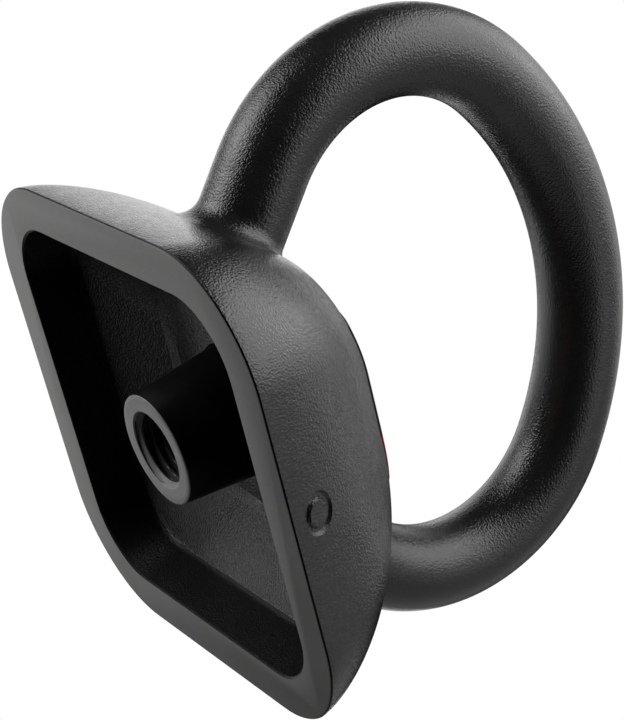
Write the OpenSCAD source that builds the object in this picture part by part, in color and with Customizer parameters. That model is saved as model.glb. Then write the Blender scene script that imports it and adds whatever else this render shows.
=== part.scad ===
// Female swivel hoist ring.
// A closed oval ring is cast in one piece with a hollow square base. A threaded bush stands in the base
// and turns on a roller bearing in the roof, so that the ring can swivel about the thread under load.
// Origin: centre of the bush's seat face. +Z runs along the thread axis towards the ring. Millimetres.

/* [Base casting] */
// Width of the square base at its rim
base_w = 180; // [172:1:188]
// Height of the crown above the rim
base_h = 76.4; // [75:0.1:84]
// Corner radius of the rim, seen from below
rim_corner_r = 43.8; // [38:0.2:46]
// Radius that the corners lose for each millimetre of height
corner_taper = 0.21; // [0:0.01:0.3]
// Exponent of the side profile across the width: larger is squarer
shoulder_power = 2.18; // [2:0.02:2.5]
// Exponent of the side profile up the height: larger is squarer
flare_power = 1.38; // [1.3:0.02:1.6]
// Width of the machined rim face
rim_face_w = 16.9; // [14:0.1:20]
// Corner radius of the cavity mouth
mouth_corner_r = 25.5; // [20:0.5:30]
// Chamfer between the machined rim face and the skirt
rim_chamfer = 0.8; // [0.4:0.1:1.5]
// Distance that the rim stands back from the bush's seat face, so that the base can turn
rim_gap = 0.3; // [0.2:0.1:1]
// Height of the cavity's flat ceiling above the seat face
ceiling_z = 36; // [34:0.5:37]

/* [Ring] */
// Diameter of the ring's bar
bar_d = 33.6; // [30:0.2:36]
// Half width of the ring, to the bar's centre line
ring_half_w = 102.9; // [100:0.1:106]
// Half height of the ring, to the bar's centre line
ring_half_h = 76.6; // [74:0.1:80]
// Radius of the two end arcs of the centre line
end_arc_r = 63.9; // [60:0.1:68]
// Height of the ring's middle above the rim
ring_mid_h = 115.9; // [112:0.1:120]
// Angle below the middle at which each end arc runs out into its straight leg
leg_angle = 50; // [46:1:54]
// Length of the straight leg, most of it buried in the crown
leg_l = 34; // [30:1:38]

/* [Swivel bush] */
// Radius of the boss at its seat face
boss_face_r = 21.2; // [20.5:0.1:22]
// Radius of the boss at its root
boss_root_r = 24.4; // [23:0.1:24.6]
// Radius of the neck that runs in the sleeve bearing
neck_r = 25; // [24.8:0.1:25.4]
// Radius of the flange that bears on the rollers
flange_r = 37; // [36.5:0.1:37.5]
// Thickness of the flange
flange_t = 6; // [5:0.5:6.5]
// Minor radius of the M30 x 3.5 internal thread
thread_minor_r = 13.1; // [12:0.05:13.5]
// Radius of the thread's lead-in at the seat face
lead_in_r = 15.1; // [14.5:0.1:16]
// Depth of the thread from the seat face
thread_depth = 45; // [40:1:46]

/* [Bearing] */
// Number of windows in the roller cage
window_count = 24; // [16:2:26]
// Diameter of the rollers, with the gap that the races leave
roller_gap = 3.5; // [3:0.1:3.6]
// Thickness of each race
race_t = 2; // [1.5:0.1:2.2]
// Height of the bearing nut
nut_h = 11; // [11:0.5:11.5]
// Radius of the bearing nut's thread
nut_r = 41; // [40.6:0.1:42]
// Radius of the bearing pocket above the thread
pocket_r = 40; // [39.8:0.1:40.4]
// Running clearance on the radius, between parts that turn against each other
run_gap = 0.05; // [0.02:0.01:0.08]

/* [Details] */
// Length of the label along the ring
label_l = 61; // [50:1:64]
// Width of the label
label_w = 24; // [18:1:26]
// Thickness of the label
label_t = 0.4; // [0.3:0.1:0.6]
// Diameter of the round mark in the side wall
mark_d = 15; // [12:0.5:17]

/* [Hidden] */
$fn = 64;
cut = 1; // how far a cutting tool runs past the face it opens

coat_black = [0.10, 0.10, 0.11];
turned_black = [0.22, 0.22, 0.23];
bearing_steel = [0.62, 0.63, 0.65];
bronze = [0.66, 0.50, 0.28];
rubber_black = [0.06, 0.06, 0.07];

// Heights of the stack inside the roof, from the ceiling up
nut_top_z = ceiling_z + nut_h;
roller_low_z = nut_top_z + race_t;
roller_mid_z = roller_low_z + roller_gap / 2;
flange_low_z = roller_low_z + roller_gap + race_t;
flange_top_z = flange_low_z + flange_t;
washer_t = 1;
roof_z = flange_top_z + 2.5;
bar_r = bar_d / 2;
ring_z = rim_gap + ring_mid_h;
crown_z = rim_gap + base_h;

// ---------------------------------------------------------------- base casting

// Half width of the base at a height above the rim
function base_half(h) = base_w / 2 * pow(1 - pow(h / base_h, flare_power), 1 / shoulder_power);

// Height above the rim at which the base has a half width
function base_level(half) = base_h * pow(1 - pow(half / (base_w / 2), shoulder_power), 1 / flare_power);

// Points round a square with rounded corners, at one height
function section(half, corner, z, steps = 10) = [
    for (quarter = [0:3], i = [0:steps])
        let (turn = 90 * quarter + 90 * i / steps)
        let (mid = 90 * quarter + 45, reach = sqrt(2) * (half - corner))
        [reach * cos(mid) + corner * cos(turn), reach * sin(mid) + corner * sin(turn), z]
];

// Closed solid through a row of outlines that all have the same number of points
module skin(outlines) {
    count = len(outlines[0]);
    last = len(outlines) - 1;
    sides = [
        for (k = [0:last - 1], i = [0:count - 1])
            let (j = (i + 1) % count)
            each [
                [k * count + i, (k + 1) * count + i, (k + 1) * count + j],
                [k * count + i, (k + 1) * count + j, k * count + j]
            ]
    ];
    first_face = [for (i = [0:count - 1]) i];
    last_face = [for (i = [count - 1:-1:0]) last * count + i];
    points = [for (outline = outlines) each outline];
    polyhedron(points, concat([first_face], sides, [last_face]), convexity = 4);
}

// Closed solid through a stack of sections, each given as [half width, corner radius, height]
module stacked(levels) skin([for (level = levels) section(level[0], level[1], level[2])]);

// Outside of the base without the ring. grow moves its surface outwards
module base_solid(grow = 0, steps = 15) {
    top_half = 3;
    sweep = acos(top_half / (base_w / 2));
    levels = [
        [base_w / 2 - rim_chamfer + grow, rim_corner_r, rim_gap],
        [base_half(rim_chamfer) + grow, rim_corner_r, rim_gap + rim_chamfer],
        for (i = [1:steps])
            let (half = base_w / 2 * cos(sweep * i / steps), h = base_level(half))
            [half + grow, min(half, rim_corner_r - corner_taper * h) + grow, rim_gap + h + grow]
    ];
    stacked(levels);
}

// Hollow of the base: steep walls, then a slope that follows the crown, then a flat ceiling
module cavity() {
    mouth_half = base_w / 2 - rim_face_w;
    wall_h = 18;
    draft = 3;
    turn_w = 3.5;
    turn_h = 4;
    ceiling_edge_w = 2.5;
    ceiling_edge_h = 1;
    wall_top = mouth_half - draft;
    ceiling_half = pocket_r + 1.5;
    profile = [
        [mouth_half + cut * draft / wall_h, rim_gap - cut],
        [wall_top, wall_h],
        [wall_top - turn_w / 3, wall_h + turn_h / 2],
        [wall_top - turn_w, wall_h + turn_h],
        [ceiling_half + ceiling_edge_w, ceiling_z - ceiling_edge_h],
        [ceiling_half, ceiling_z]
    ];
    stacked([for (point = profile) [point[0], mouth_corner_r, point[1]]]);
}

// Stations along one arc of the ring's centre line: [x, z, heading], with headings in degrees from +X.
// The arc's own first point is left out, because the stretch before it ends there
function arc_stations(centre_x, centre_z, radius, from, to, steps) = [
    for (i = [1:steps])
        let (angle = from + (to - from) * i / steps)
        [centre_x + radius * cos(angle), centre_z + radius * sin(angle), angle + 90]
];

// Round outline of the ring's bar at a station
function bar_outline(station, sides = 36) = [
    for (i = [0:sides - 1])
        let (turn = 360 * i / sides, out = station[2] - 90)
        [
            station[0] + bar_r * cos(turn) * cos(out),
            bar_r * sin(turn),
            station[1] + bar_r * cos(turn) * sin(out)
        ]
];

// The closed ring: one top arc, two end arcs and two straight legs that sink into the crown
module ring() {
    end_x = ring_half_w - end_arc_r;
    top_arc_r = (end_x * end_x + ring_half_h * ring_half_h - end_arc_r * end_arc_r)
        / (2 * (ring_half_h - end_arc_r));
    drop = top_arc_r - ring_half_h;
    join = atan2(drop, end_x);
    leg_top = [end_x + end_arc_r * cos(leg_angle), ring_z - end_arc_r * sin(leg_angle)];
    leg_end = leg_top - leg_l * [sin(leg_angle), cos(leg_angle)];
    heading = 90 - leg_angle;
    end_steps = 14;
    top_steps = 16;
    skin([
        for (station = concat(
            [[leg_end[0], leg_end[1], heading], [leg_top[0], leg_top[1], heading]],
            arc_stations(end_x, ring_z, end_arc_r, -leg_angle, join, end_steps),
            arc_stations(0, ring_z - drop, top_arc_r, join, 180 - join, top_steps),
            arc_stations(-end_x, ring_z, end_arc_r, 180 - join, 180 + leg_angle, end_steps),
            [[-leg_end[0], leg_end[1], -heading]]
        )) bar_outline(station)
    ]);
}

// Room for the nut, the bearing and the bush's flange, open to the cavity
module bearing_pocket() {
    roof_r = 33;
    shoulder_h = 1;
    seam = 0.01;
    translate([0, 0, ceiling_z - cut]) cylinder(h = nut_thread_h + cut, r = nut_r);
    cylinder(h = flange_top_z, r = pocket_r);
    translate([0, 0, flange_top_z - seam]) cylinder(h = shoulder_h, r1 = pocket_r, r2 = roof_r);
    cylinder(h = roof_z, r = roof_r);
}

// Plain ring-shaped mark: a groove with sloping sides, cut into the side wall
module wall_mark() {
    mid_h = 12;
    depth = 1.2;
    floor_w = 1.2;
    mouth_w = 3.2;
    reach = 5;
    tilt = atan((base_half(mid_h - reach) - base_half(mid_h + reach)) / (2 * reach));
    side_slope = (mouth_w - floor_w) / 2 / depth;
    mid_r = (mark_d - mouth_w) / 2;
    top_half = mouth_w / 2 + side_slope * cut;
    translate([0, -base_half(mid_h), rim_gap + mid_h]) rotate([90 - tilt, 0, 0])
        rotate_extrude() polygon([
            [mid_r - floor_w / 2, -depth], [mid_r + floor_w / 2, -depth],
            [mid_r + top_half, cut], [mid_r - top_half, cut]
        ]);
}

module housing() color(coat_black) difference() {
    union() {
        base_solid();
        ring();
    }
    cavity();
    bearing_pocket();
    wall_mark();
    lock_screw_holes();
}

// Printed label, laid on the crown's side slope between the ring's legs
module rating_label() color("black") {
    bond = 0.05;
    label_x = -2.5;
    near_y = -46;
    intersection() {
        difference() {
            base_solid(label_t + bond);
            base_solid(bond);
        }
        translate([label_x - label_l / 2, near_y, ceiling_z]) cube([label_l, label_w, base_h]);
    }
}

// ---------------------------------------------------------------- bearing nut and its parts

nut_thread_h = 7.5;
nut_lip_h = 2; // lip under the seal, which closes the nut round the bush's neck
nut_lip_gap = 0.3;
nut_gap = 0.03; // static clearance on the radius
seal_r = neck_r + 4.5;
seal_h = 4;
sleeve_r = seal_r + 0.5;
seal_low_z = ceiling_z + nut_lip_h;
seal_top_z = seal_low_z + seal_h;
lock_screw_r = 2.5;
lock_screw_depth = 7;
lock_screw_angles = [50, 230];
spanner_angles = [75, 255];
tool_pitch_r = 36; // radius on which the spanner holes and the grease nipple stand
nipple_angle = -60;
nipple_thread_r = 3;
oring_r = 0.85; // radius of the O-ring's section
oring_groove_w = 2;
oring_groove_depth = 1.85;
oring_z = nut_top_z - 1.8;

// Places the children on the nut's thread line, once for each lock screw
module at_lock_screws()
    for (angle = lock_screw_angles) rotate([0, 0, angle]) translate([nut_r, 0, ceiling_z]) children();

module lock_screw_holes()
    at_lock_screws() translate([0, 0, -cut]) cylinder(h = lock_screw_depth + cut, r = lock_screw_r);

// Plain ring between two radii and two heights
module plain_ring(inner_r, outer_r, low_z, high_z)
    translate([0, 0, low_z]) difference() {
        cylinder(h = high_z - low_z, r = outer_r);
        translate([0, 0, -cut]) cylinder(h = high_z - low_z + 2 * cut, r = inner_r);
    }

// O-ring or coil spring: a ring of round section
module round_ring(radius, section_r, z)
    translate([0, 0, z]) rotate_extrude() translate([radius, 0]) circle(r = section_r);

// Grease way: up through the nut from the nipple, then out along its top face
module grease_channel() {
    channel_r = 1;
    slot_depth = 0.7;
    nipple_hole_h = 6;
    rotate([0, 0, nipple_angle]) {
        translate([tool_pitch_r, 0, ceiling_z - cut])
            cylinder(h = nipple_hole_h + cut, r = nipple_thread_r);
        translate([tool_pitch_r, 0, ceiling_z]) cylinder(h = nut_h + cut, r = channel_r);
        translate([tool_pitch_r, -channel_r, nut_top_z - slot_depth])
            cube([nut_r - tool_pitch_r, 2 * channel_r, slot_depth + cut]);
    }
}

// Threaded ring that closes the pocket from below and carries the bearing
module bearing_nut() color(turned_black) {
    spanner_hole_r = 3;
    spanner_hole_depth = 5;
    difference() {
        union() {
            translate([0, 0, ceiling_z]) cylinder(h = nut_thread_h - nut_gap, r = nut_r - nut_gap);
            translate([0, 0, ceiling_z]) cylinder(h = nut_h, r = pocket_r - nut_gap);
        }
        translate([0, 0, ceiling_z - cut]) cylinder(h = nut_h, r = neck_r + nut_lip_gap);
        translate([0, 0, seal_low_z]) cylinder(h = seal_h, r = seal_r);
        translate([0, 0, seal_top_z]) cylinder(h = nut_h, r = sleeve_r);
        translate([0, 0, oring_z - oring_groove_w / 2])
            plain_ring(pocket_r - oring_groove_depth, pocket_r + cut, 0, oring_groove_w);
        for (angle = spanner_angles) rotate([0, 0, angle]) translate([tool_pitch_r, 0, ceiling_z - cut])
            cylinder(h = spanner_hole_depth + cut, r = spanner_hole_r);
        grease_channel();
        lock_screw_holes();
    }
}

// Grub screws across the nut's thread, each with a hexagon socket
module nut_lock_screws() color(bearing_steel) {
    socket_r = 1.44;
    socket_depth = 2.5;
    screw_l = 6;
    sink = 0.6;
    at_lock_screws() translate([0, 0, sink]) difference() {
        cylinder(h = screw_l, r = lock_screw_r - nut_gap);
        translate([0, 0, -cut]) cylinder(h = socket_depth + cut, r = socket_r, $fn = 6);
    }
}

module nut_seal() color(rubber_black) {
    squeeze = 0.1;
    round_ring(pocket_r - oring_r - squeeze, oring_r, oring_z);
}

// The bronze bearings stop a little short of the face beside them
bronze_end_gap = 0.05;

module sleeve_bearing() color(bronze)
    plain_ring(neck_r + run_gap, sleeve_r - nut_gap, seal_top_z, nut_top_z - bronze_end_gap);

module flange_bearing() color(bronze)
    plain_ring(
        flange_r + run_gap, pocket_r - nut_gap,
        flange_low_z + 2 * bronze_end_gap, flange_top_z - bronze_end_gap
    );

// ---------------------------------------------------------------- thrust bearing

race_inner_r = neck_r + 1;
race_outer_r = flange_r - run_gap;
roller_play = 0.02;
roller_r = roller_gap / 2 - roller_play;
roller_end_gap = 0.15;
window_start = race_inner_r + 1;
window_end = race_outer_r - 0.3;
roller_l = (window_end - window_start - 4 * roller_end_gap) / 2;

module lower_race() color(bearing_steel) plain_ring(race_inner_r, race_outer_r, nut_top_z, roller_low_z);

module upper_race() color(bearing_steel)
    plain_ring(race_inner_r, race_outer_r, roller_low_z + roller_gap, flange_low_z);

module roller_cage() color(bronze) {
    cage_t = 2.4;
    cage_inner_gap = 0.2;
    cage_outer_rim = 0.8;
    window_play = 0.12;
    window_half = roller_r + window_play;
    difference() {
        plain_ring(
            race_inner_r + cage_inner_gap, race_outer_r + cage_outer_rim,
            roller_mid_z - cage_t / 2, roller_mid_z + cage_t / 2
        );
        for (i = [0:window_count - 1]) rotate([0, 0, 360 * i / window_count])
            translate([window_start, -window_half, roller_mid_z - cage_t])
                cube([window_end - window_start, 2 * window_half, 2 * cage_t]);
    }
}

// One circle of rollers, lying along the radii, from a start radius outwards
module roller_circle(start)
    for (i = [0:window_count - 1]) rotate([0, 0, 360 * i / window_count])
        translate([start, 0, roller_mid_z]) rotate([0, 90, 0]) cylinder(h = roller_l, r = roller_r);

module inner_rollers() color(bearing_steel) roller_circle(window_start + roller_end_gap);

module outer_rollers() color(bearing_steel) roller_circle(window_start + roller_l + 3 * roller_end_gap);

// Bronze washer between the turning flange and the disc spring
module top_washer() color(bronze) {
    inner_r = 17;
    outer_r = 32;
    plain_ring(inner_r, outer_r, flange_top_z + run_gap, flange_top_z + washer_t);
}

// Coned spring between the pocket's roof and the top washer
module disc_spring() color(bearing_steel) {
    spring_t = 0.9;
    inner_r = 18;
    outer_r = 31;
    inner_top = roof_z - nut_gap;
    outer_low = flange_top_z + washer_t + nut_gap;
    rotate_extrude() polygon([
        [inner_r, inner_top - spring_t], [outer_r, outer_low],
        [outer_r, outer_low + spring_t], [inner_r, inner_top]
    ]);
}

// ---------------------------------------------------------------- shaft seal

seal_wall = 1;
seal_back_gap = 0.1;
seal_back_r = seal_r - seal_wall - seal_back_gap;
seal_roof_z = seal_top_z - seal_wall - nut_gap;
lip_h = 2.7;

// Steel cup that is pressed into the nut, open downwards
module seal_case() color(bearing_steel) {
    outer_r = seal_r - nut_gap;
    hole_r = neck_r + 2;
    rotate_extrude() polygon([
        [outer_r, seal_low_z], [outer_r, seal_top_z], [hole_r, seal_top_z],
        [hole_r, seal_top_z - seal_wall], [outer_r - seal_wall, seal_top_z - seal_wall],
        [outer_r - seal_wall, seal_low_z]
    ]);
}

// Rubber lip under the cup's roof, with a pocket behind it for the garter spring
module seal_lip() color(rubber_black) {
    lip_r = neck_r + run_gap;
    web_t = 0.9;
    root_w = 1.2;
    edge_drop = 1.6;
    edge_relief = 0.5;
    lip_w = 2.1;
    rotate_extrude() polygon([
        [seal_back_r, seal_roof_z], [lip_r + root_w, seal_roof_z], [lip_r, seal_roof_z - edge_drop],
        [lip_r + edge_relief, seal_roof_z - lip_h], [lip_r + lip_w, seal_roof_z - lip_h],
        [lip_r + lip_w, seal_roof_z - web_t], [seal_back_r, seal_roof_z - web_t]
    ]);
}

module garter_spring() color(bearing_steel) {
    coil_r = 0.6;
    stand_off = 2.8;
    drop = 1.8;
    round_ring(neck_r + stand_off, coil_r, seal_roof_z - drop);
}

// ---------------------------------------------------------------- grease nipple

nipple_washer_t = 0.6;

module at_nipple() rotate([0, 0, nipple_angle]) translate([tool_pitch_r, 0, ceiling_z]) children();

// Straight nipple: screw-in shank, hexagon, neck and ball head, with a grease way through it
module grease_nipple() color(bearing_steel) {
    shank_l = 5.5;
    hexagon_r = 4;
    hexagon_h = 2.5;
    stem_r = 1.9;
    stem_l = 3;
    head_r = 2.4;
    way_r = 0.5;
    at_nipple() translate([0, 0, -nipple_washer_t]) difference() {
        union() {
            cylinder(h = shank_l, r = nipple_thread_r - nut_gap);
            translate([0, 0, -hexagon_h]) cylinder(h = hexagon_h, r = hexagon_r, $fn = 6);
            translate([0, 0, -hexagon_h - stem_l + cut / 2]) cylinder(h = stem_l, r = stem_r);
            translate([0, 0, -hexagon_h - stem_l]) sphere(r = head_r);
        }
        translate([0, 0, -hexagon_h - stem_l - 2 * head_r])
            cylinder(h = shank_l + 5 * head_r, r = way_r);
    }
}

module nipple_washer() color("peru") {
    washer_r = 4.6;
    bore_gap = 0.02;
    at_nipple() plain_ring(nipple_thread_r + bore_gap, washer_r, -nipple_washer_t, 0);
}

// ---------------------------------------------------------------- swivel bush

// The turning piece: tapered boss, neck and flange in one, with a blind thread from below
module swivel_bush() color(turned_black) {
    edge = 0.5;
    flange_edge = 1;
    drill_tip_angle = 31;
    root_z = ceiling_z - edge;
    lead_in_h = lead_in_r - thread_minor_r;
    seam = 0.01;
    difference() {
        rotate_extrude() polygon([
            [0, 0], [boss_face_r - edge, 0], [boss_face_r, edge],
            [boss_root_r, root_z], [neck_r, root_z + edge], [neck_r, flange_low_z],
            [flange_r, flange_low_z], [flange_r, flange_top_z - flange_edge],
            [flange_r - flange_edge, flange_top_z], [0, flange_top_z]
        ]);
        translate([0, 0, -cut]) cylinder(h = thread_depth + cut, r = thread_minor_r);
        translate([0, 0, thread_depth])
            cylinder(h = thread_minor_r * tan(drill_tip_angle), r1 = thread_minor_r, r2 = 0);
        translate([0, 0, -seam])
            cylinder(h = lead_in_h + seam, r1 = lead_in_r + seam, r2 = thread_minor_r);
    }
}

housing();
rating_label();
bearing_nut();
nut_lock_screws();
nut_seal();
sleeve_bearing();
flange_bearing();
lower_race();
upper_race();
roller_cage();
inner_rollers();
outer_rollers();
top_washer();
disc_spring();
seal_case();
seal_lip();
garter_spring();
grease_nipple();
nipple_washer();
swivel_bush();
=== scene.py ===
"""Looks for the female swivel hoist ring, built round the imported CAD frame.

The casting, the threaded bush and the label are rebuilt here as finer meshes, with real fillets, a helical
thread and a label that follows the crown. Every other CAD node is kept as packed and gets its own material.
Lengths in the dimension tables are millimetres, as on a drawing; meshes are built in metres.
"""

import math

import bmesh
import bpy
import numpy as np
from mathutils import Matrix, Quaternion, Vector


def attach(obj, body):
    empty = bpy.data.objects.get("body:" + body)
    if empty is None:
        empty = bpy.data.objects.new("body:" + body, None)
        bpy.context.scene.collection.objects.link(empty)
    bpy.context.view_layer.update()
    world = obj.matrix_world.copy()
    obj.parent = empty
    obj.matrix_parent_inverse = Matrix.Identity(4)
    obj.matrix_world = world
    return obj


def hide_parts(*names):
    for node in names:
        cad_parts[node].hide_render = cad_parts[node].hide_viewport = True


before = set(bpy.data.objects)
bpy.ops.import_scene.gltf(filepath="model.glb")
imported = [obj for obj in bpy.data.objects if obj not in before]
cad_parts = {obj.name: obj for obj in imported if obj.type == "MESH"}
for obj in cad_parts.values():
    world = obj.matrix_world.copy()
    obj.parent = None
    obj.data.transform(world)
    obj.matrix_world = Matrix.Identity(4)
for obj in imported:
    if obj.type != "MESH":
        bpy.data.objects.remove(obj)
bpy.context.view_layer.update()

MM = 0.001

# ------------------------------------------------------------------ dimensions, in millimetres

# The rim stands clear of the bush's seat face, which is at z = 0
RIM_Z = 0.3
# The base is a rounded square that narrows from the rim to the crown
BASE_HALF = 90.0
BASE_H = 76.4
RIM_CORNER_R = 43.8
CORNER_TAPER = 0.21
SHOULDER_POWER = 2.18
FLARE_POWER = 1.38
RIM_FACE_W = 16.9
RIM_CHAMFER = 0.8
# The chamfer's knee, as shares of its width and height, makes it read as a worn edge
KNEE_IN = 0.55
KNEE_UP = 0.22

# The hollow of the base
MOUTH_CORNER_R = 25.5
MOUTH_CHAMFER = 0.6
WALL_TOP_Z = 19.5
WALL_DRAFT = 3.0
WALL_TURN_R = 4.5
CEILING_Z = 36.0
CEILING_TURN_R = 3.0
CEILING_EDGE_W = 4.5
CEILING_EDGE_H = 1.5

# The ring's centre line: two end arcs, a flatter arc on top, and two straight legs into the crown
BAR_R = 16.8
RING_HALF_W = 102.9
RING_HALF_H = 76.6
END_ARC_R = 63.9
RING_Z = RIM_Z + 115.9
LEG_ANGLE = 50.0
LEG_L = 34.0
END_X = RING_HALF_W - END_ARC_R
TOP_ARC_R = (END_X**2 + RING_HALF_H**2 - END_ARC_R**2) / (2 * (RING_HALF_H - END_ARC_R))
TOP_DROP = TOP_ARC_R - RING_HALF_H
JOIN_ANGLE = math.degrees(math.atan2(TOP_DROP, END_X))
OUTER_FILLET = 8.0
INNER_FILLET = 3.5

# The threaded bush
BOSS_FACE_R = 21.2
BOSS_ROOT_R = 24.4
BOSS_EDGE = 0.5
SEAT_FACE_W = 2.2
NECK_R = 25.0
FLANGE_R = 37.0
FLANGE_LOW_Z = 54.5
FLANGE_TOP_Z = 60.5
FLANGE_CHAMFER = 1.0
THREAD_MINOR_R = 13.1
THREAD_MAJOR_R = 15.0
THREAD_PITCH = 3.5
THREAD_DEPTH = 45.0
LEAD_IN_R = 15.1
DRILL_TIP_ANGLE = 31.0

# Holes that open into the hollow's ceiling
NUT_R = 41.0
NUT_THREAD_TOP_Z = 43.5
POCKET_R = 40.0
POCKET_RIM_W = 0.5
POCKET_ROOF_R = 33.0
POCKET_ROOF_Z = 63.0
POCKET_SHOULDER_H = 1.0
LOCK_SCREW_R = 2.5
LOCK_SCREW_ANGLES = (50, 230)
LOCK_SCREW_DEPTH = 7.0

# The label on the crown
LABEL_CENTRE = (-2.5, -34.0)
LABEL_SIZE = (61.0, 24.0)
LABEL_CORNER_R = 2.5
LABEL_BOND = 0.05
LABEL_T = 0.4
LABEL_BAND_X = 10.0

# The ring-shaped mark in the side wall
MARK_MID_H = 12.0
MARK_D = 15.0
MARK_DEPTH = 1.2
MARK_FLOOR_W = 1.2
MARK_MOUTH_W = 3.2

# How far a cutter stands out past the face it opens
OVERCUT = 4.0
# Height of the waste under the rim, which the rim's cutter takes off
RIM_WASTE = 6.0


# ------------------------------------------------------------------ mesh helpers

def new_object(name, points, faces):
    """Mesh object from points in millimetres."""
    mesh = bpy.data.meshes.new(name)
    mesh.from_pydata([tuple(p) for p in np.asarray(points, float) * MM], [], [tuple(f) for f in faces])
    mesh.validate()
    made = bpy.data.objects.new(name, mesh)
    bpy.context.scene.collection.objects.link(made)
    return made


def full_turn(sides):
    """Angles of the corners round a full turn."""
    return np.arange(sides) * 2 * math.pi / sides


def circle(radius, z, turns):
    """Points round the Z axis at one height. The radius may change from point to point."""
    return np.stack([radius * np.cos(turns), radius * np.sin(turns), np.full(len(turns), z)], 1)


def loft(name, outlines):
    """Closed solid through outlines that all have the same number of points."""
    count = len(outlines[0])
    faces = [tuple(range(count))[::-1]]
    for k in range(len(outlines) - 1):
        for i in range(count):
            j = (i + 1) % count
            faces.append((k * count + i, k * count + j, (k + 1) * count + j, (k + 1) * count + i))
    last = (len(outlines) - 1) * count
    faces.append(tuple(last + i for i in range(count)))
    return face_outwards(new_object(name, np.concatenate(outlines), faces))


def stack_of_circles(name, circles, first_pole, last_pole):
    """Closed skin through circles about Z, ended by two points on the axis."""
    sides = len(circles[0])
    points = np.concatenate(circles + [[[0, 0, first_pole], [0, 0, last_pole]]])
    first, final = len(points) - 2, len(points) - 1
    last = (len(circles) - 1) * sides
    faces = []
    for i in range(sides):
        j = (i + 1) % sides
        faces.append((first, j, i))
        for k in range(len(circles) - 1):
            faces.append((k * sides + i, k * sides + j, (k + 1) * sides + j, (k + 1) * sides + i))
        faces.append((last + i, last + j, final))
    return face_outwards(new_object(name, points, faces))


def revolve(name, profile, sides):
    """Closed solid of revolution about Z. The profile's first and last points are on the axis."""
    turns = full_turn(sides)
    circles = [circle(radius, z, turns) for radius, z in profile[1:-1]]
    return stack_of_circles(name, circles, profile[0][1], profile[-1][1])


def revolve_ring(name, profile, sides=96):
    """Closed ring about Z, from a closed profile that stays clear of the axis."""
    count = len(profile)
    points = [
        (radius * math.cos(turn), radius * math.sin(turn), z)
        for turn in full_turn(sides)
        for radius, z in profile
    ]
    faces = []
    for i in range(sides):
        here, following = i * count, (i + 1) % sides * count
        for k in range(count):
            after = (k + 1) % count
            faces.append((here + k, here + after, following + after, following + k))
    return face_outwards(new_object(name, points, faces))


def face_outwards(obj):
    """Turns every face of a closed mesh outwards."""
    mesh = bmesh.new()
    mesh.from_mesh(obj.data)
    bmesh.ops.recalc_face_normals(mesh, faces=mesh.faces)
    mesh.to_mesh(obj.data)
    mesh.free()
    return obj


def apply_modifiers(obj):
    """Replaces an object's mesh by what its modifiers make of it."""
    graph = bpy.context.evaluated_depsgraph_get()
    made = bpy.data.meshes.new_from_object(obj.evaluated_get(graph))
    obj.modifiers.clear()
    obj.data = made


def combine(obj, tool, operation):
    """Joins the tool to the object, or cuts it away, and deletes the tool."""
    step = obj.modifiers.new("combine", "BOOLEAN")
    step.operation = operation
    step.solver = "MANIFOLD"
    step.object = tool
    apply_modifiers(obj)
    bpy.data.objects.remove(tool)


def shade_by_angle(obj, degrees=32):
    """Smooth shading, with the edges sharper than an angle kept hard."""
    mesh = bmesh.new()
    mesh.from_mesh(obj.data)
    for face in mesh.faces:
        face.smooth = True
    for edge in mesh.edges:
        edge.smooth = len(edge.link_faces) == 2 and edge.calc_face_angle(0) < math.radians(degrees)
    mesh.to_mesh(obj.data)
    mesh.free()
    return obj


def rounded(points, radii, steps=6):
    """An open line of 2-D points with its inner corners rounded. A radius of zero keeps a corner sharp."""
    points = [np.array(p, float) for p in points]
    line = [points[0]]
    for before, corner, after, radius in zip(points, points[1:], points[2:], radii):
        if radius == 0:
            line.append(corner)
            continue
        to_before = (before - corner) / np.linalg.norm(before - corner)
        to_after = (after - corner) / np.linalg.norm(after - corner)
        half_angle = math.acos(np.clip(to_before @ to_after, -1, 1)) / 2
        reach = radius / math.tan(half_angle)
        start, end = corner + reach * to_before, corner + reach * to_after
        for t in np.linspace(0, 1, steps + 1):
            line.append((1 - t) ** 2 * start + 2 * t * (1 - t) * corner + t**2 * end)
    return line + [points[-1]]


def section(half, corner, z, steps=24):
    """Points round a square with rounded corners, at one height."""
    points = []
    reach = math.sqrt(2) * (half - corner)
    for quarter in range(4):
        middle = math.radians(90 * quarter + 45)
        for i in range(steps + 1):
            turn = math.radians(90 * (quarter + i / steps))
            x = reach * math.cos(middle) + corner * math.cos(turn)
            y = reach * math.sin(middle) + corner * math.sin(turn)
            points.append((x, y, z))
    return np.array(points)


# ------------------------------------------------------------------ the casting's outside, as distances

def base_half(height):
    """Half width of the base at a height above the rim."""
    share = np.clip(1 - (np.clip(height, 0, None) / BASE_H) ** FLARE_POWER, 0, None)
    return BASE_HALF * share ** (1 / SHOULDER_POWER)


def base_level(half):
    """Height above the rim at which the base has a half width."""
    return BASE_H * (1 - (half / BASE_HALF) ** SHOULDER_POWER) ** (1 / FLARE_POWER)


def base_corner(half, height):
    """Corner radius of the base at a height above the rim, where it has a half width."""
    return np.minimum(half, RIM_CORNER_R - CORNER_TAPER * height)


def base_fill(p):
    """Zero on the base's surface, positive outside it."""
    height = np.clip(p[:, 2] - RIM_Z, 0, None)
    half = base_half(height)
    corner = base_corner(half, height)
    over = np.abs(p[:, :2]) - (half - corner)[:, None]
    outside = np.hypot(np.maximum(over[:, 0], 0), np.maximum(over[:, 1], 0))
    inside = np.minimum(np.maximum(over[:, 0], over[:, 1]), 0)
    reach = np.clip(half + outside + inside - corner, 0, None)
    return (reach / BASE_HALF) ** SHOULDER_POWER + (height / BASE_H) ** FLARE_POWER - 1


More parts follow.
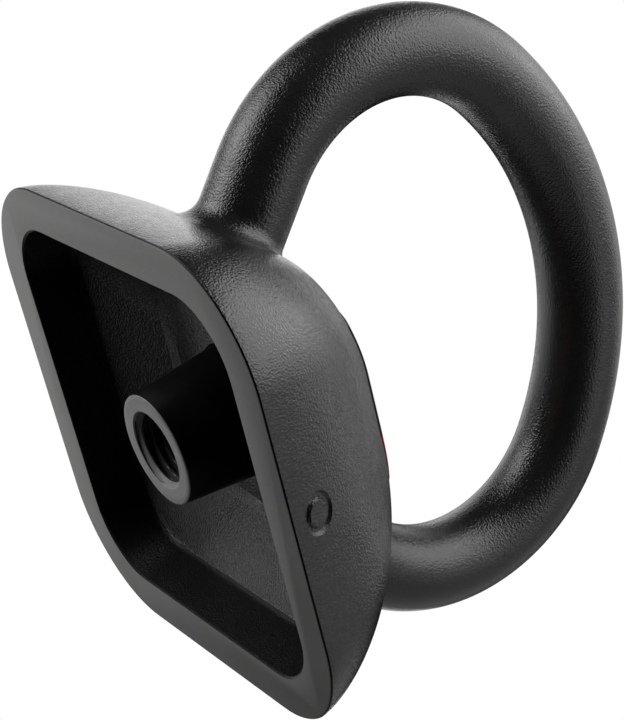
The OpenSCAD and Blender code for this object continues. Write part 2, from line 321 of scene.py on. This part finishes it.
def gradient(field, p, step=0.02):
    """Slope of a field at the points, by central differences."""
    slopes = []
    for axis in np.eye(3) * step:
        slopes.append((field(p + axis) - field(p - axis)) / (2 * step))
    return np.stack(slopes, 1)


def base_distance(p):
    """Distance from the base's surface, close to it."""
    return base_fill(p) / np.maximum(np.linalg.norm(gradient(base_fill, p), axis=1), 1e-6)


def leg_place():
    """Top of the right leg's centre line, and its direction down into the crown, as X and Z."""
    angle = math.radians(LEG_ANGLE)
    top = np.array([END_X + END_ARC_R * math.cos(angle), RING_Z - END_ARC_R * math.sin(angle)])
    return top, np.array([-math.sin(angle), -math.cos(angle)])


def ring_distance(p):
    """Distance from the ring's round bar. Both halves of the ring are alike, so X is folded over."""
    side = np.stack([np.abs(p[:, 0]), p[:, 2]], 1)

    def from_arc(centre_x, centre_z, radius, low, high):
        offset = side - [centre_x, centre_z]
        angle = np.clip(np.degrees(np.arctan2(offset[:, 1], offset[:, 0])), low, high)
        near = np.stack([np.cos(np.radians(angle)), np.sin(np.radians(angle))], 1) * radius
        return np.linalg.norm(offset - near, axis=1)

    top, down = leg_place()
    along = np.clip((side - top) @ down, 0, LEG_L)
    from_leg = np.linalg.norm(side - top - along[:, None] * down, axis=1)
    from_end = from_arc(END_X, RING_Z, END_ARC_R, -LEG_ANGLE, JOIN_ANGLE)
    from_top = from_arc(0, RING_Z - TOP_DROP, TOP_ARC_R, JOIN_ANGLE, 90)
    from_line = np.minimum(np.minimum(from_leg, from_end), from_top)
    return np.hypot(from_line, p[:, 1]) - BAR_R


def casting_distance(p):
    """Base and ring joined by a fillet, wide outside the legs and tight in the window."""
    base, ring = base_distance(p), ring_distance(p)
    top, down = leg_place()
    offset = np.stack([np.abs(p[:, 0]), p[:, 2]], 1) - top
    outwards = offset @ np.array([-down[1], down[0]])
    share = np.clip(outwards / (2 * BAR_R) + 0.5, 0, 1)
    radius = INNER_FILLET + (OUTER_FILLET - INNER_FILLET) * share * share * (3 - 2 * share)
    lap = np.hypot(np.maximum(radius - base, 0), np.maximum(radius - ring, 0))
    return np.maximum(radius, np.minimum(base, ring)) - lap


# ------------------------------------------------------------------ the casting as a mesh

def base_blank(levels=41, crown_half=2):
    """Closed solid of the base, from just below the rim to a small flat on the crown."""
    sections = [section(BASE_HALF, RIM_CORNER_R, RIM_Z - RIM_WASTE)]
    for turn in np.linspace(0, math.acos(crown_half / BASE_HALF), levels):
        half = BASE_HALF * math.cos(turn)
        height = base_level(half)
        sections.append(section(half, base_corner(half, height), RIM_Z + height))
    return loft("casting", sections)


def ring_blank(sides=48, arc_steps=20):
    """Round bar along the ring's centre line, from one buried leg end to the other."""
    top, down = leg_place()
    leg_end = top + LEG_L * down
    # Each station is a place on the centre line, as X and Z, and the angle that the bar's outer side faces
    stations = [(leg_end, -LEG_ANGLE), (top, -LEG_ANGLE)]

    def add_arc(centre_x, centre_z, radius, start, end):
        for angle in np.linspace(start, end, arc_steps + 1)[1:]:
            turn = math.radians(angle)
            place = np.array([centre_x + radius * math.cos(turn), centre_z + radius * math.sin(turn)])
            stations.append((place, angle))

    add_arc(END_X, RING_Z, END_ARC_R, -LEG_ANGLE, JOIN_ANGLE)
    add_arc(0, RING_Z - TOP_DROP, TOP_ARC_R, JOIN_ANGLE, 180 - JOIN_ANGLE)
    add_arc(-END_X, RING_Z, END_ARC_R, 180 - JOIN_ANGLE, 180 + LEG_ANGLE)
    stations.append((leg_end * [-1, 1], 180 + LEG_ANGLE))

    turns = full_turn(sides)
    sections = []
    for (x, z), angle in stations:
        out = math.radians(angle)
        across = BAR_R * np.cos(turns)
        sections.append(
            np.stack([x + across * math.cos(out), BAR_R * np.sin(turns), z + across * math.sin(out)], 1)
        )
    return loft("ring_blank", sections)


def settle_on_surface(mesh, passes=6):
    """Evens out the mesh's points and lays them on the casting's exact surface, all but the rim's waste."""
    count = len(mesh.vertices)
    p = np.zeros(count * 3)
    mesh.vertices.foreach_get("co", p)
    p = p.reshape(-1, 3) / MM
    edges = np.zeros(len(mesh.edges) * 2, int)
    mesh.edges.foreach_get("vertices", edges)
    edges = edges.reshape(-1, 2)
    neighbours = np.bincount(edges.ravel(), minlength=count)[:, None]
    above = p[:, 2] > RIM_Z - RIM_WASTE / 2
    evening, longest_step, least_slope = 0.5, 1.0, 0.25
    for _ in range(passes):
        total = np.zeros_like(p)
        np.add.at(total, edges[:, 0], p[edges[:, 1]])
        np.add.at(total, edges[:, 1], p[edges[:, 0]])
        p[above] += evening * (total / neighbours - p)[above]
        slope = gradient(casting_distance, p[above])
        off = casting_distance(p[above])
        size = np.maximum(np.sum(slope * slope, axis=1), least_slope)
        p[above] -= slope * np.clip(off / size, -longest_step, longest_step)[:, None]
    mesh.vertices.foreach_set("co", (p * MM).ravel())
    mesh.update()


def casting_blank(voxel):
    """The casting's outside as one even mesh: base and ring fused, remeshed, laid on the exact surface."""
    blank = base_blank()
    combine(blank, ring_blank(), "UNION")
    step = blank.modifiers.new("even", "REMESH")
    step.mode = "VOXEL"
    step.voxel_size = voxel * MM
    apply_modifiers(blank)
    settle_on_surface(blank.data)
    return blank


def rim_tool():
    """Cutter that leaves the flat rim face and the small chamfer round it."""
    reach = 2 * RIM_WASTE

    def level(inwards, height):
        return section(BASE_HALF - inwards, RIM_CORNER_R - inwards, RIM_Z + height)

    return loft(
        "rim_tool",
        [
            level(-reach, -reach),
            level(-reach, reach + RIM_CHAMFER),
            level(0, RIM_CHAMFER),
            level(KNEE_IN * RIM_CHAMFER, KNEE_UP * RIM_CHAMFER),
            level(RIM_CHAMFER, 0),
        ],
    )


def cavity_tool():
    """Cutter for the hollow: steep walls, a soft turn to the slope, and a flat ceiling."""
    mouth = BASE_HALF - RIM_FACE_W
    profile = rounded(
        [
            (mouth + MOUTH_CHAMFER, RIM_Z - OVERCUT),
            (mouth + MOUTH_CHAMFER, RIM_Z),
            (mouth, RIM_Z + MOUTH_CHAMFER),
            (mouth - WALL_DRAFT, WALL_TOP_Z),
            (POCKET_R + POCKET_RIM_W + CEILING_EDGE_W, CEILING_Z - CEILING_EDGE_H),
            (POCKET_R + POCKET_RIM_W, CEILING_Z),
        ],
        [0, 0, WALL_TURN_R, CEILING_TURN_R],
    )
    return loft("cavity_tool", [section(half, MOUTH_CORNER_R, z) for half, z in profile])


def pocket_tool():
    """Cutter for the nut's thread and the bearing pocket above it."""
    profile = [
        (0, CEILING_Z - OVERCUT),
        (NUT_R, CEILING_Z - OVERCUT),
        (NUT_R, NUT_THREAD_TOP_Z),
        (POCKET_R, NUT_THREAD_TOP_Z),
        (POCKET_R, FLANGE_TOP_Z),
        (POCKET_ROOF_R, FLANGE_TOP_Z + POCKET_SHOULDER_H),
        (POCKET_ROOF_R, POCKET_ROOF_Z),
        (0, POCKET_ROOF_Z),
    ]
    return revolve("pocket_tool", profile, sides=192)


def lock_screw_tool(angle):
    """Cutter for one lock screw's hole, on the nut's thread line."""
    profile = [
        (0, CEILING_Z - OVERCUT),
        (LOCK_SCREW_R, CEILING_Z - OVERCUT),
        (LOCK_SCREW_R, CEILING_Z + LOCK_SCREW_DEPTH),
        (0, CEILING_Z + LOCK_SCREW_DEPTH),
    ]
    tool = revolve("lock_screw_tool", profile, sides=32)
    turn = math.radians(angle)
    tool.data.transform(Matrix.Translation((NUT_R * math.cos(turn) * MM, NUT_R * math.sin(turn) * MM, 0)))
    return tool


def mark_tool():
    """Cutter for the plain ring-shaped mark in the side wall: a groove with sloping sides."""
    over = 1.0
    floor_half = MARK_FLOOR_W / 2
    side_slope = (MARK_MOUTH_W - MARK_FLOOR_W) / 2 / MARK_DEPTH
    top_half = MARK_MOUTH_W / 2 + side_slope * over
    middle_r = (MARK_D - MARK_MOUTH_W) / 2
    groove = [
        (middle_r - floor_half, -MARK_DEPTH),
        (middle_r + floor_half, -MARK_DEPTH),
        (middle_r + top_half, over),
        (middle_r - top_half, over),
    ]
    tool = revolve_ring("mark_tool", groove)
    rise = 10.0
    drop = float(base_half(MARK_MID_H - rise / 2) - base_half(MARK_MID_H + rise / 2))
    lean = math.atan2(drop, rise)
    place = Vector((0, -float(base_half(MARK_MID_H)), RIM_Z + MARK_MID_H)) * MM
    tool.data.transform(Matrix.Translation(place) @ Matrix.Rotation(math.pi / 2 - lean, 4, "X"))
    return tool


def build_casting():
    casting = casting_blank(voxel=1.25)
    tools = [rim_tool(), cavity_tool(), pocket_tool(), mark_tool()]
    tools += [lock_screw_tool(angle) for angle in LOCK_SCREW_ANGLES]
    for tool in tools:
        combine(casting, tool, "DIFFERENCE")
    return shade_by_angle(casting)


# ------------------------------------------------------------------ the threaded bush

def thread_radius(z, turns):
    """Radius of the tapped hole: a 60 degree thread with flat crests and roots, behind a lead-in chamfer."""
    crest_share, flank_share = 0.22, 0.62
    phase = (z / THREAD_PITCH - turns / (2 * math.pi)) % 1.0
    ramp = 2 * np.abs(phase - 0.5)
    depth = THREAD_MAJOR_R - THREAD_MINOR_R
    groove = THREAD_MINOR_R + depth * np.clip((ramp - crest_share) / flank_share, 0, 1)
    if z > THREAD_DEPTH - THREAD_PITCH:
        run_out = 0.5 * (THREAD_DEPTH - z)
        groove = np.minimum(groove, THREAD_MINOR_R + run_out)
    lead_in = LEAD_IN_R - z
    return np.maximum(groove, lead_in)


def build_bush(sides=144, z_step=0.22):
    """One closed skin: flange top, neck, boss, seat face, then up the threaded hole to the drill point."""
    outside = [
        (FLANGE_R - FLANGE_CHAMFER, FLANGE_TOP_Z),
        (FLANGE_R, FLANGE_TOP_Z - FLANGE_CHAMFER),
        (FLANGE_R, FLANGE_LOW_Z),
        (NECK_R, FLANGE_LOW_Z),
        (NECK_R, CEILING_Z),
        (BOSS_ROOT_R, CEILING_Z - BOSS_EDGE),
        (BOSS_FACE_R + 0.02, BOSS_EDGE),
        (BOSS_FACE_R - 0.3 * BOSS_EDGE, 0.3 * BOSS_EDGE),
        (BOSS_FACE_R - BOSS_EDGE, 0),
        (BOSS_FACE_R - SEAT_FACE_W, 0),
    ]
    turns = full_turn(sides)
    circles = [circle(radius, z, turns) for radius, z in outside]
    for z in np.append(np.arange(0, THREAD_DEPTH, z_step), THREAD_DEPTH):
        circles.append(circle(thread_radius(z, turns), z, turns))
    drill_tip_h = THREAD_MINOR_R * math.tan(math.radians(DRILL_TIP_ANGLE))
    bush = stack_of_circles("bush_turned", circles, FLANGE_TOP_Z, THREAD_DEPTH + drill_tip_h)
    return shade_by_angle(bush, 25)


# ------------------------------------------------------------------ the label

def label_outline(steps):
    """Grid of points over the label, as X and Y, with its corners drawn in to their radius."""
    half_l, half_w = LABEL_SIZE[0] / 2, LABEL_SIZE[1] / 2
    u, v = np.meshgrid(np.linspace(-1, 1, steps[0] + 1), np.linspace(-1, 1, steps[1] + 1), indexing="ij")
    x, y = u.ravel() * half_l, v.ravel() * half_w
    over = np.stack([np.abs(x) - (half_l - LABEL_CORNER_R), np.abs(y) - (half_w - LABEL_CORNER_R)], 1)
    in_corner = (over > 0).all(1)
    reach = np.maximum(np.hypot(over[:, 0], over[:, 1]), 1e-9)
    pull = np.maximum(over[:, 0], over[:, 1]) / reach
    x = np.where(in_corner, np.sign(x) * (half_l - LABEL_CORNER_R + over[:, 0] * pull), x)
    y = np.where(in_corner, np.sign(y) * (half_w - LABEL_CORNER_R + over[:, 1] * pull), y)
    return x + LABEL_CENTRE[0], y + LABEL_CENTRE[1]


def crown_height(x, y, halvings=40):
    """Height of the crown's surface at the points, found by halving the span it must be in."""
    low = np.full(len(x), CEILING_Z)
    high = np.full(len(x), RIM_Z + BASE_H + 5)
    for _ in range(halvings):
        middle = (low + high) / 2
        inside = base_fill(np.stack([x, y, middle], 1)) < 0
        low, high = np.where(inside, middle, low), np.where(inside, high, middle)
    return low


def build_label(steps=(60, 24)):
    """Thin film with rounded corners that lies on the crown."""
    x, y = label_outline(steps)
    foot = np.stack([x, y, crown_height(x, y)], 1)
    normal = gradient(base_fill, foot)
    normal /= np.linalg.norm(normal, axis=1)[:, None]
    points = np.concatenate([foot + normal * LABEL_BOND, foot + normal * (LABEL_BOND + LABEL_T)])
    count, row = len(x), steps[1] + 1
    faces = []
    for i in range(steps[0]):
        for j in range(steps[1]):
            quad = (i * row + j, i * row + j + 1, (i + 1) * row + j + 1, (i + 1) * row + j)
            faces.append(quad)
            faces.append(tuple(k + count for k in quad[::-1]))
    border = [i * row for i in range(steps[0] + 1)]
    border += [steps[0] * row + j for j in range(1, row)]
    border += [i * row + steps[1] for i in range(steps[0] - 1, -1, -1)]
    border += list(range(steps[1] - 1, 0, -1))
    for a, b in zip(border, border[1:] + border[:1]):
        faces.append((a, b, b + count, a + count))
    return shade_by_angle(face_outwards(new_object("crown_label", points, faces)), 40)


# ------------------------------------------------------------------ materials

class Nodes:
    """Short way to write a node tree: each call makes a node, sets its inputs and returns its output.

    Noise scales are in cells per metre, so a scale of 1000 gives a grain of about a millimetre.
    """

    def __init__(self, name):
        self.material = bpy.data.materials.new(name)
        self.material.use_nodes = True
        self.tree = self.material.node_tree
        self.tree.nodes.clear()

    def set_input(self, socket, value):
        if isinstance(value, bpy.types.NodeSocket):
            self.tree.links.new(value, socket)
        else:
            socket.default_value = value

    def add(self, kind, output=0, settings=None, **inputs):
        """Adds a node and returns one of its outputs. Inputs go by name, with underscores for spaces."""
        node = self.tree.nodes.new(kind)
        for key, value in (settings or {}).items():
            setattr(node, key, value)
        for key, value in inputs.items():
            self.set_input(node.inputs[key.replace("_", " ")], value)
        return node.outputs[output]

    def place(self):
        """Where the point is on the object, in metres."""
        return self.add("ShaderNodeTexCoord", "Object")

    def split(self):
        """The same place as three separate numbers: X, Y and Z."""
        return self.add("ShaderNodeSeparateXYZ", Vector=self.place()).node.outputs

    def noise(self, scale, detail=2.0, roughness=0.5, vector=None):
        vector = vector or self.place()
        return self.add("ShaderNodeTexNoise", Vector=vector, Scale=scale, Detail=detail, Roughness=roughness)

    def math(self, operation, *values):
        node = self.tree.nodes.new("ShaderNodeMath")
        node.operation = operation
        for socket, value in zip(node.inputs, values):
            self.set_input(socket, value)
        return node.outputs[0]

    def ramp(self, value, low, high, out_low=0.0, out_high=1.0):
        """Smooth step from one number to another as the value goes from low to high."""
        smooth = {"interpolation_type": "SMOOTHSTEP"}
        limits = {"From_Min": low, "From_Max": high, "To_Min": out_low, "To_Max": out_high}
        return self.add("ShaderNodeMapRange", settings=smooth, Value=value, **limits)

    def mix(self, share, a, b):
        """Mix of two colours. The node has an A and a B for every data type; 6 and 7 are the colours'."""
        node = self.tree.nodes.new("ShaderNodeMix")
        node.data_type = "RGBA"
        for index, value in ((0, share), (6, a), (7, b)):
            self.set_input(node.inputs[index], value)
        return node.outputs[2]

    def bump(self, height, distance, strength=1.0, normal=None):
        """Bump of a depth in millimetres, on top of another bump where one is given."""
        inputs = {"Height": height, "Distance": distance * MM, "Strength": strength}
        if normal is not None:
            inputs["Normal"] = normal
        return self.add("ShaderNodeBump", **inputs)

    def finish(self, color, metallic, roughness, normal, specular=0.5):
        """Ends the tree in a plain surface with these properties and returns the material."""
        surface = self.add(
            "ShaderNodeBsdfPrincipled",
            Base_Color=color,
            Metallic=metallic,
            Roughness=roughness,
            Normal=normal,
            Specular_IOR_Level=specular,
        )
        return self.show(surface)

    def show(self, surface):
        """Makes the surface the tree's output and returns the material."""
        output = self.tree.nodes.new("ShaderNodeOutputMaterial")
        self.tree.links.new(surface, output.inputs["Surface"])
        return self.material


def grey(value, warmth=0.0):
    """Grey, with warmth as the share by which red stands above it and blue below."""
    return (value * (1 + warmth), value, value * (1 - warmth), 1.0)


def powder_coat(name, tone=0.0125, specular=0.5, peel_depth=0.25, rough=0.2):
    """Black powder coat: orange peel under a millimetre across, over the slight waves of a casting."""
    n = Nodes(name)
    peel = n.noise(1350, detail=1.0, roughness=0.45)
    fine = n.noise(3100, detail=1.0)
    waves = n.noise(55)
    cloud = n.noise(28, detail=3.0)
    color = n.mix(n.ramp(cloud, 0.35, 0.65), grey(0.84 * tone), grey(1.16 * tone))
    normal = n.bump(waves, 0.35, 0.6)
    normal = n.bump(peel, peel_depth, 1.0, normal)
    normal = n.bump(fine, 0.02, 0.6, normal)
    roughness = n.ramp(n.noise(300, detail=3.0), 0.3, 0.7, rough - 0.03, rough + 0.03)
    return n.finish(color, 0.0, roughness, normal, specular)


def machined_black(name):
    """Milled and blackened rim face: satin and grainy, with faint cutter marks."""
    n = Nodes(name)
    stretched = n.add("ShaderNodeMapping", Vector=n.place(), Scale=(1.0, 0.05, 1.0), Rotation=(0, 0, 0.6))
    marks = n.noise(2200, vector=stretched)
    cloud = n.noise(24, detail=4.0)
    grain = n.noise(1500, detail=3.0, roughness=0.6)
    color = n.mix(n.ramp(cloud, 0.3, 0.7), grey(0.125, 0.015), grey(0.15, 0.015))
    color = n.mix(n.ramp(marks, 0.55, 0.9, 0, 0.25), color, grey(0.18, 0.015))
    color = n.mix(n.ramp(grain, 0.42, 0.75, 0, 0.5), color, grey(0.085, 0.015))
    normal = n.bump(marks, 0.012, 0.5)
    normal = n.bump(grain, 0.03, 0.6, normal)
    return n.finish(color, 0.0, n.ramp(cloud, 0.3, 0.7, 0.5, 0.6), normal)


def turned(name, color_low, color_high, metallic, rough, mark=0.02, specular=0.5):
    """Turned metal: fine rings about the thread's axis, with a cloudy tone."""
    ring_scale = 3200
    n = Nodes(name)
    x, y, z = n.split()
    radius = n.math("SQRT", n.math("ADD", n.math("POWER", x, 2.0), n.math("POWER", y, 2.0)))
    line = n.add("ShaderNodeCombineXYZ", X=radius, Y=z)
    rings = n.noise(ring_scale, vector=line)
    bands = n.noise(ring_scale * 0.3, detail=1.0, vector=line)
    cloud = n.noise(60, detail=4.0)
    darker = tuple(0.75 * channel for channel in color_low[:3]) + (1.0,)
    color = n.mix(n.ramp(cloud, 0.3, 0.7), color_low, color_high)
    color = n.mix(n.ramp(bands, 0.4, 0.7, 0, 0.6), color, darker)
    blend = n.math("ADD", n.math("MULTIPLY", rings, 0.4), n.math("MULTIPLY", cloud, 0.6))
    roughness = n.ramp(blend, 0.3, 0.7, rough - 0.06, rough + 0.08)
    return n.finish(color, metallic, roughness, n.bump(rings, mark, 0.7), specular)


def cloudy(name, color_low, color_high, metallic, rough, bump=0.01):
    """Plain finish with a cloudy tone and a fine grain."""
    n = Nodes(name)
    cloud = n.noise(90, detail=4.0)
    color = n.mix(n.ramp(cloud, 0.3, 0.7), color_low, color_high)
    roughness = n.ramp(cloud, 0.25, 0.75, rough - 0.05, rough + 0.07)
    return n.finish(color, metallic, roughness, n.bump(n.noise(1800), bump, 0.7))


def label_film(name):
    """Matt printed film: black, with a plain red band at one end."""
    n = Nodes(name)
    blur = 0.05
    band = n.ramp(n.split()[0], (LABEL_BAND_X - blur) * MM, (LABEL_BAND_X + blur) * MM)
    scuff = n.noise(400, detail=4.0)
    black = n.mix(n.ramp(scuff, 0.4, 0.8), grey(0.012), grey(0.02))
    red = n.mix(n.ramp(scuff, 0.3, 0.8), (0.42, 0.012, 0.014, 1), (0.52, 0.02, 0.02, 1))
    roughness = n.ramp(scuff, 0.3, 0.7, 0.32, 0.42)
    return n.finish(n.mix(band, black, red), 0.0, roughness, n.bump(n.noise(1500), 0.006, 0.6))


coat = powder_coat("black_powder_coat")
# Much darker, duller copy of the coat: painted shade for the hollow's steep walls and the line round the
# rim's edge
painted_shade_coat = powder_coat("painted_shade_powder_coat", tone=0.006, specular=0.08, peel_depth=0.2, rough=0.3)
machined = machined_black("machined_black")
# Black oxide on the bush, darkened well below its own tone as painted shade for the boss deep in the hollow
oxide_with_painted_shade = turned("black_oxide", grey(0.003), grey(0.0045), 0.0, 0.36, specular=0.06)
turned_face = turned("turned_face", grey(0.125), grey(0.15), 0.0, 0.45)
cut_thread = turned("cut_thread", grey(0.03), grey(0.045), 0.0, 0.28)
steel = turned("bearing_steel", grey(0.52), grey(0.60), 1.0, 0.26)
race_steel = turned("race_steel", grey(0.50), grey(0.58), 1.0, 0.2, mark=0.008)
bronze = turned("bearing_bronze", (0.50, 0.31, 0.13, 1), (0.58, 0.38, 0.18, 1), 1.0, 0.34)
brass = cloudy("cage_brass", (0.62, 0.43, 0.14, 1), (0.70, 0.50, 0.19, 1), 1.0, 0.3)
copper = cloudy("washer_copper", (0.62, 0.27, 0.15, 1), (0.70, 0.34, 0.20, 1), 1.0, 0.32)
zinc = cloudy("zinc_plate", grey(0.55, 0.03), grey(0.66, 0.05), 1.0, 0.3)
spring = cloudy("spring_steel", grey(0.22, 0.02), grey(0.30, 0.02), 1.0, 0.36)
rubber = cloudy("seal_rubber", grey(0.012), grey(0.02), 0.0, 0.55, bump=0.02)
film = label_film("label_film")


# ------------------------------------------------------------------ which face gets which finish

def face_table(mesh):
    """Centre of each face in millimetres, and how far it faces up, from -1 to 1."""
    centres = np.array([face.center for face in mesh.polygons]) / MM
    return centres, np.array([face.normal.z for face in mesh.polygons])


def casting_finishes(mesh):
    """Index of each face's finish: 0 coat, 1 machined rim, 2 painted shade on steep inner walls and the
    edge.
    """
    centres, facing_up = face_table(mesh)
    above_rim = centres[:, 2] - RIM_Z
    rim_face = (facing_up < -0.99) & (np.abs(above_rim) < 0.05)
    below_knee = (facing_up < -0.75) & (above_rim > 0.01) & (above_rim < KNEE_UP * RIM_CHAMFER)
    above_knee = (facing_up > -0.75) & (facing_up < -0.4) & (above_rim < RIM_CHAMFER)
    skin_depth = 2.0
    inside = base_distance(centres) < -skin_depth
    slope_or_ceiling = (facing_up < -0.7) & (centres[:, 2] > 5) & (centres[:, 2] < CEILING_Z + 1)
    # Steep walls deep in the hollow, and the chamfer above its knee, take the darker coat as painted shade
    painted_shade_faces = (inside & ~slope_or_ceiling) | above_knee
    return np.where(rim_face | below_knee, 1, np.where(painted_shade_faces, 2, 0))


def bush_finishes(mesh):
    """Index of each face's finish: 0 black oxide with painted shade, 1 turned seat face and lead-in, 2 cut
    thread.
    """
    centres, facing_up = face_table(mesh)
    lead_in_h = LEAD_IN_R - THREAD_MINOR_R
    on_seat = (facing_up < -0.3) & (centres[:, 2] < lead_in_h)
    radius = np.hypot(centres[:, 0], centres[:, 1])
    in_hole = (radius < THREAD_MAJOR_R) & (centres[:, 2] > 0.5) & (centres[:, 2] < THREAD_DEPTH + 1)
    return np.where(on_seat, 1, np.where(in_hole, 2, 0))


def paint(obj, materials, finishes=None):
    """Gives an object its materials, and each face its own where there are several."""
    obj.data.materials.clear()
    for material in materials:
        obj.data.materials.append(material)
    if finishes is not None:
        obj.data.polygons.foreach_set("material_index", finishes(obj.data).astype(np.int32))


def put_in_place(piece, body, node):
    """The piece moves with a CAD body and stands for one of its nodes."""
    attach(piece, body)
    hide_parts(node)


# ------------------------------------------------------------------ build the pieces

casting = build_casting()
paint(casting, [coat, machined, painted_shade_coat], casting_finishes)
put_in_place(casting, "ring_body", "housing")

bush = build_bush()
paint(bush, [oxide_with_painted_shade, turned_face, cut_thread], bush_finishes)
put_in_place(bush, "bush", "swivel_bush")

label = build_label()
paint(label, [film])
put_in_place(label, "ring_body", "rating_label")

KEPT_NODE_MATERIALS = {
    "bearing_nut": coat,
    "nut_lock_screws": spring,
    "nut_seal": rubber,
    "sleeve_bearing": bronze,
    "flange_bearing": bronze,
    "lower_race": race_steel,
    "upper_race": race_steel,
    "roller_cage": brass,
    "inner_rollers": steel,
    "outer_rollers": steel,
    "top_washer": bronze,
    "disc_spring": spring,
    "seal_case": steel,
    "seal_lip": rubber,
    "garter_spring": spring,
    "grease_nipple": zinc,
    "nipple_washer": copper,
}
for node, material in KEPT_NODE_MATERIALS.items():
    paint(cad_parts[node], [material])


# ------------------------------------------------------------------ camera

# The camera was fitted to the photo: metres and degrees in the CAD frame, and a lens in millimetres
CAMERA_PLACE = Vector((-0.3231, -0.5993, -0.2452))
CAMERA_HEADING = 28.0
CAMERA_RISE = 24.8
CAMERA_ROLL = 63.42
CAMERA_LENS = 103.05


def make_camera():
    heading, rise = math.radians(CAMERA_HEADING), math.radians(CAMERA_RISE)
    ahead = Vector((math.sin(heading) * math.cos(rise), math.cos(heading) * math.cos(rise), math.sin(rise)))
    level = ahead.to_track_quat("-Z", "Y")
    data = bpy.data.cameras.new("camera")
    data.lens = CAMERA_LENS
    data.sensor_width = 36.0
    data.clip_start = 0.02
    camera = bpy.data.objects.new("camera", data)
    bpy.context.scene.collection.objects.link(camera)
    camera.location = CAMERA_PLACE
    camera.rotation_mode = "QUATERNION"
    camera.rotation_quaternion = Quaternion(ahead, math.radians(-CAMERA_ROLL)) @ level
    bpy.context.scene.camera = camera
    bpy.context.view_layer.update()
    return camera


camera = make_camera()


# ------------------------------------------------------------------ light

STUDIO_MIDDLE = Vector((0, 0, 0.09))

# Each soft box: its direction from the object as the camera sees it (right, up, towards the camera),
# the half angle that it fills as seen from the object, in degrees, and its power in watts
SOFT_BOXES = {
    "right_bank": [
        (0.81, 0.58, 0.08, 36, 9.6),
        (0.78, 0.41, 0.46, 24, 2.1),
        (0.64, 0.70, 0.32, 12, 0.8),
        (0.70, 0.65, -0.30, 24, 2.1),
        (0.92, -0.08, 0.37, 24, 1.9),
        (0.90, 0.17, -0.39, 24, 1.2),
    ],
    "left_bank": [
        (-0.88, 0.43, 0.15, 15, 2.5),
        (-0.80, 0.35, 0.48, 12, 1.4),
        (-0.75, 0.65, 0.10, 18, 1.7),
        (-0.80, 0.55, -0.20, 18, 1.7),
        (-0.65, 0.70, 0.30, 12, 1.0),
        (-0.97, -0.22, -0.08, 24, 0.9),
        (-0.70, -0.60, -0.30, 24, 0.2),
    ],
    "white_backdrop": [
        (-0.71, -0.10, -0.70, 24, 1.7),
        (-0.26, 0.39, -0.88, 24, 2.3),
        (0.18, 0.53, -0.83, 24, 0.6),
        (0.60, 0.20, -0.77, 24, 1.1),
        (-0.07, -0.43, -0.90, 12, 0.6),
    ],
    "pale_table": [
        (0.46, -0.87, -0.19, 45, 4.0),
    ],
}


def soft_light(name, right, up, towards_camera, spread, watts):
    """Round soft box a metre from the object, turned to it. The camera doesn't see it."""
    direction = (camera.matrix_world.to_3x3() @ Vector((right, up, towards_camera))).normalized()
    data = bpy.data.lights.new(name, "AREA")
    data.shape = "DISK"
    data.size = 2 * math.tan(math.radians(spread))
    data.energy = watts
    lamp = bpy.data.objects.new(name, data)
    bpy.context.scene.collection.objects.link(lamp)
    lamp.location = STUDIO_MIDDLE + direction
    lamp.rotation_mode = "QUATERNION"
    lamp.rotation_quaternion = direction.to_track_quat("Z", "Y")
    lamp.visible_camera = False


def make_world():
    """White where the camera looks past the object. It gives no light, so the soft boxes do all of it."""
    world = bpy.data.worlds.new("studio")
    bpy.context.scene.world = world
    world.use_nodes = True
    tree = world.node_tree
    tree.nodes.clear()
    path = tree.nodes.new("ShaderNodeLightPath")
    white = tree.nodes.new("ShaderNodeBackground")
    white.inputs["Color"].default_value = (1, 1, 1, 1)
    out = tree.nodes.new("ShaderNodeOutputWorld")
    tree.links.new(path.outputs["Is Camera Ray"], white.inputs["Strength"])
    tree.links.new(white.outputs[0], out.inputs["Surface"])


def make_floor():
    """Pale floor, seen only from above and fading out with distance, so a camera below it looks past it."""
    half, fade_start, fade_end = 2500.0, 0.2, 0.75
    corners = [(-half, -half, 0), (half, -half, 0), (half, half, 0), (-half, half, 0)]
    floor = new_object("floor", corners, [(0, 1, 2, 3)])
    n = Nodes("pale_floor")
    distance = n.add("ShaderNodeVectorMath", "Value", {"operation": "LENGTH"}, Vector=n.place())
    near = n.ramp(distance, fade_start, fade_end, 1.0, 0.0)
    above = n.math("SUBTRACT", 1.0, n.add("ShaderNodeNewGeometry", "Backfacing"))
    seen = n.math("MULTIPLY", n.math("MULTIPLY", above, near), n.add("ShaderNodeLightPath", "Is Camera Ray"))
    clear = n.add("ShaderNodeBsdfTransparent", Color=(1, 1, 1, 1))
    pale = n.add("ShaderNodeBsdfDiffuse", Color=(0.85, 0.85, 0.85, 1))
    pick = n.tree.nodes.new("ShaderNodeMixShader")
    for socket, value in zip(pick.inputs, (seen, clear, pale)):
        n.set_input(socket, value)
    floor.data.materials.append(n.show(pick.outputs[0]))


for bank, boxes in SOFT_BOXES.items():
    for box in boxes:
        soft_light(bank, *box)
make_world()
make_floor()
bpy.context.scene.view_settings.view_transform = "Standard"
